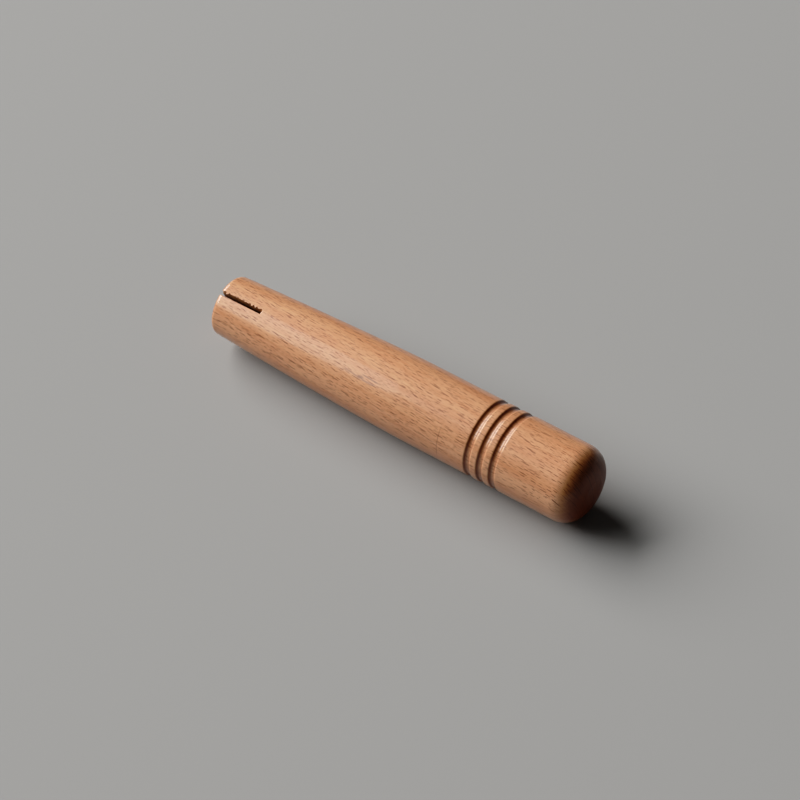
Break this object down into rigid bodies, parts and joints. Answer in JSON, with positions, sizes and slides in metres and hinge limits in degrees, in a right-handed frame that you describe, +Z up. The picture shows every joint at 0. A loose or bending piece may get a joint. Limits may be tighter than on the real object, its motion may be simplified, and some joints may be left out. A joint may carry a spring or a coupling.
{
  "type": "muddler",
  "caption": "Turned wooden muddler lying on its side: tapered grip with a saw-cut slot in its end, ring grooves, and a wider working head with a large round-over.",
  "frame": {"origin": "on the surface it lies on, under the middle of its bounding box", "axes": "+X along the turning axis toward the working head, +Y across, +Z up from the surface"},
  "size_m": [0.2, 0.0364, 0.0363],
  "materials": {
    "beech": "satin clear finish over turned and sanded beech"
  },
  "bodies": {
    "root": {"turned_body": "beech"}
  },
  "joints": []
}
